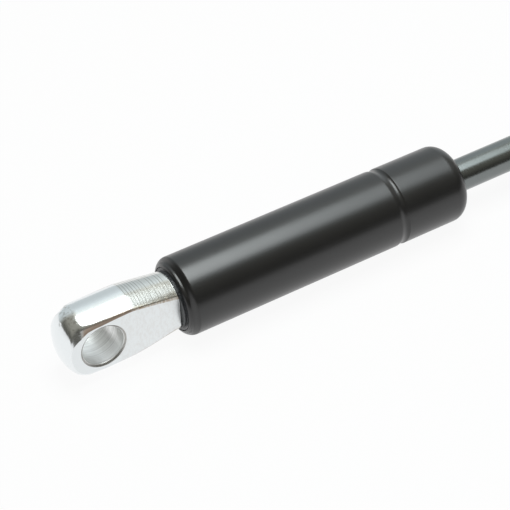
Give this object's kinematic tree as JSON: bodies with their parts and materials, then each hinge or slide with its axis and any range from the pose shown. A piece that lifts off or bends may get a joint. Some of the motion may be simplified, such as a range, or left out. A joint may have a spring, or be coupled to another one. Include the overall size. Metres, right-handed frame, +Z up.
{
  "type": "gas spring",
  "caption": "Compact gas spring: black pressure tube with rolled ends, dark piston rod and a flat-sided pivot eyelet at each end; the rod slides in and springs back.",
  "frame": {"origin": "centre of the pin bore in the tube's eyelet", "axes": "+X along the rod from the tube's eyelet to the rod's eyelet, +Y along the pin bores, +Z up"},
  "size_m": [0.1702, 0.019, 0.019],
  "materials": {
    "tube_paint": "satin black paint on a drawn steel tube",
    "eyelet_plating": "bright zinc plating on turned and milled steel",
    "rod_nitrided": "polished dark grey nitrided steel",
    "o_ring_rubber": "smooth moulded rubber",
    "seal_rubber": "smooth moulded rubber",
    "wiper_rubber": "matt moulded rubber",
    "buffer_rubber": "matt moulded rubber",
    "support_steel": "stamped steel",
    "end_washer_steel": "turned steel",
    "washer_steel": "stamped steel",
    "disc_steel": "bright rolled spring steel",
    "guide_alloy": "turned alloy",
    "piston_alloy": "die-cast alloy with turned faces",
    "bush_bronze": "sintered bronze",
    "backing_plastic": "natural plastic",
    "ring_plastic": "natural low-friction plastic",
    "felt": "oiled wool felt"
  },
  "bodies": {
    "cylinder": {"cylinder_tube": "tube_paint", "tube_eyelet": "eyelet_plating", "plug_o_ring": "o_ring_rubber", "support_ring": "support_steel", "main_seal": "seal_rubber", "seal_backing_ring": "backing_plastic", "felt_ring": "felt", "rod_guide": "guide_alloy", "guide_bush": "bush_bronze", "guide_o_ring": "o_ring_rubber", "end_washer": "end_washer_steel", "rod_wiper": "wiper_rubber"},
    "sliding_ring": {"piston_ring": "ring_plastic"},
    "rod": {"piston_rod": "rod_nitrided", "stop_buffer": "buffer_rubber", "front_washer": "washer_steel", "piston": "piston_alloy", "valve_disc": "disc_steel", "rear_washer": "washer_steel", "rod_eyelet": "eyelet_plating"}
  },
  "joints": [
    {"name": "rod_slide", "type": "slide", "parent": "cylinder", "child": "sliding_ring", "axis": [1, 0, 0], "range_m": [-0.03, 0], "stiffness_N_per_m": 1000, "springref_m": 0.1},
    {"name": "rod_spin", "type": "hinge", "parent": "sliding_ring", "child": "rod", "pos_m": [0.1, 0, 0], "axis": [1, 0, 0], "continuous": true}
  ]
}
